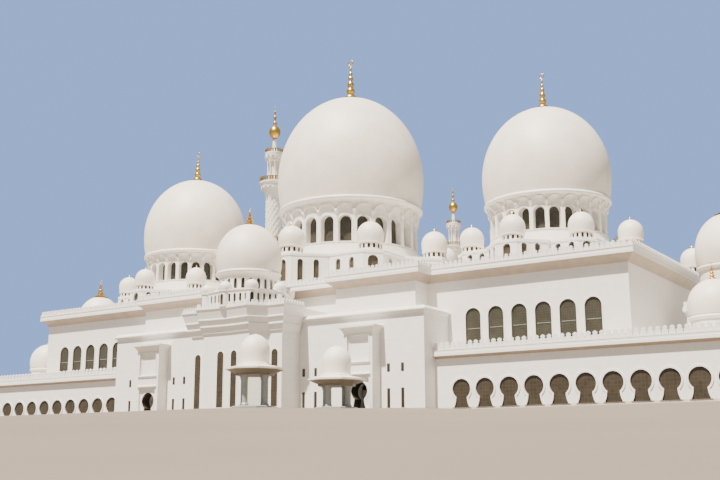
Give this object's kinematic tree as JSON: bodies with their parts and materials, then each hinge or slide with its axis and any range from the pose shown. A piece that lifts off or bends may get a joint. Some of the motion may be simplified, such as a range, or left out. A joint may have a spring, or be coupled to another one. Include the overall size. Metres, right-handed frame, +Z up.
{
  "type": "scale model of a domed mosque building, 1 to 10",
  "caption": "White marble mosque at one tenth size: long prayer hall under large bulbous domes, folded apse, framed portals, arcaded ground storey and courtyard with minarets.",
  "frame": {"origin": "centre of the footprint's bounding box on the ground", "axes": "+X along the front to the right as seen from the front, +Y from the front back into the building and its courtyard, +Z up"},
  "size_m": [17.8, 24.395, 10.45],
  "materials": {
    "white_marble": "honed",
    "dome_stone": "smooth",
    "floor_stone": "polished",
    "tinted_glass": "tinted",
    "gold_mosaic": "polished"
  },
  "bodies": {
    "root": {"apse_cornice": "white_marble", "apse_gallery": "white_marble", "apse_wall": "white_marble", "centre_dome": "dome_stone", "centre_drum": "white_marble", "centre_finial": "gold_mosaic", "centre_upper_wall": "white_marble", "court_arcade": "white_marble", "court_floor": "floor_stone", "court_outer_wall": "white_marble", "court_roof": "white_marble", "hall_floor": "floor_stone", "kiosk_1": "white_marble", "kiosk_2": "white_marble", "left_arcade_glass": "tinted_glass", "left_arcade_wall": "white_marble", "left_block": "white_marble", "left_dome": "dome_stone", "left_dome_base": "white_marble", "left_drum": "white_marble", "left_end_dome": "dome_stone", "left_end_pavilion": "white_marble", "left_finial": "gold_mosaic", "left_front_minaret": "white_marble", "left_porch_dome": "dome_stone", "left_portal": "white_marble", "left_rear_minaret": "white_marble", "left_upper_glass": "tinted_glass", "left_upper_wall": "white_marble", "main_dome": "dome_stone", "main_dome_base": "white_marble", "main_drum": "white_marble", "main_finial": "gold_mosaic", "main_roof": "white_marble", "portico_wall": "white_marble", "rear_upper_wall": "white_marble", "right_arcade_glass": "tinted_glass", "right_arcade_wall": "white_marble", "right_block": "white_marble", "right_dome": "dome_stone", "right_dome_base": "white_marble", "right_drum": "white_marble", "right_end_dome": "dome_stone", "right_end_pavilion": "white_marble", "right_finial": "gold_mosaic", "right_front_minaret": "white_marble", "right_porch_dome": "dome_stone", "right_portal": "white_marble", "right_rear_minaret": "white_marble", "right_upper_glass": "tinted_glass", "right_upper_wall": "white_marble", "terrace_roof": "white_marble"}
  },
  "joints": []
}
